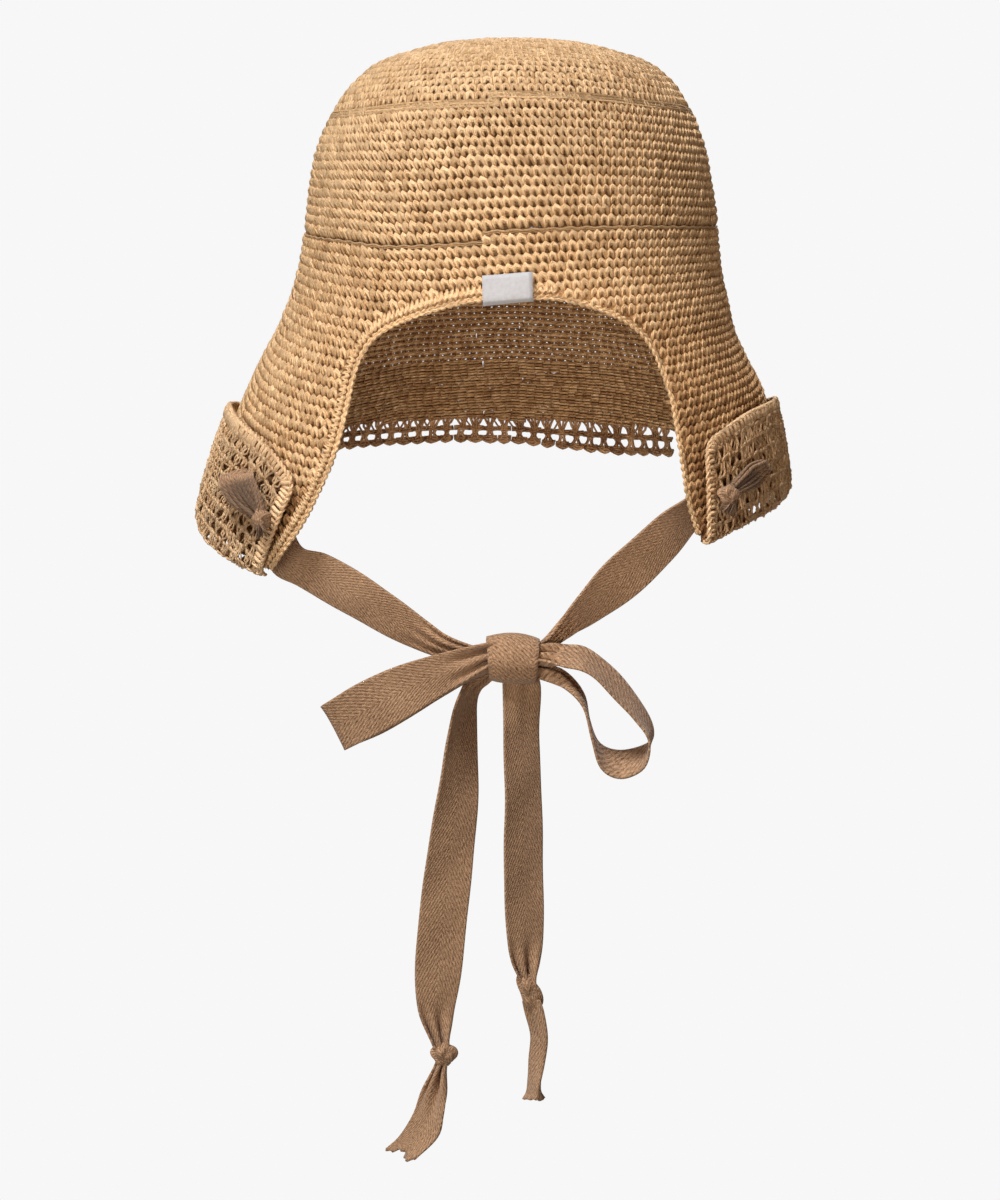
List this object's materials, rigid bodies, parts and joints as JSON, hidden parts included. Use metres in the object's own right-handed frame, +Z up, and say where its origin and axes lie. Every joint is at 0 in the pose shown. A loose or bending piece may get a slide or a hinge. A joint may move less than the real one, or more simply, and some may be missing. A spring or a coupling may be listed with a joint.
{
  "type": "crochet bonnet",
  "caption": "Crocheted bonnet with a domed crown, an arched face opening, turned-up ear flaps, an openwork hem and woven ties knotted in a bow under the chin.",
  "frame": {"origin": "inside of the crown's centre, where the bonnet rests on the top of a head", "axes": "+Z up, -Y towards the face opening, +X to the right in a front view"},
  "size_m": [0.2499, 0.2295, 0.4536],
  "materials": {
    "straw_yarn": "matt crocheted paper straw",
    "openwork_yarn": "matt crocheted paper straw, worked open",
    "woven_tape": "matt herringbone twill tape",
    "label_tape": "bare satin label tape"
  },
  "bodies": {
    "root": {"crown_plate": "straw_yarn", "crown_side": "straw_yarn", "skirt": "straw_yarn", "face_edging": "straw_yarn", "mesh_hem": "openwork_yarn", "left_cuff": "openwork_yarn", "right_cuff": "openwork_yarn", "label_tab": "label_tape", "left_tie": "woven_tape", "right_tie": "woven_tape", "left_tie_knot": "woven_tape", "right_tie_knot": "woven_tape", "bow_knot": "woven_tape", "bow_loop_left": "woven_tape", "bow_loop_right": "woven_tape", "bow_tail_left": "woven_tape", "bow_tail_right": "woven_tape", "tail_knot_left": "woven_tape", "tail_knot_right": "woven_tape", "tail_end_left": "woven_tape", "tail_end_right": "woven_tape"}
  },
  "joints": []
}
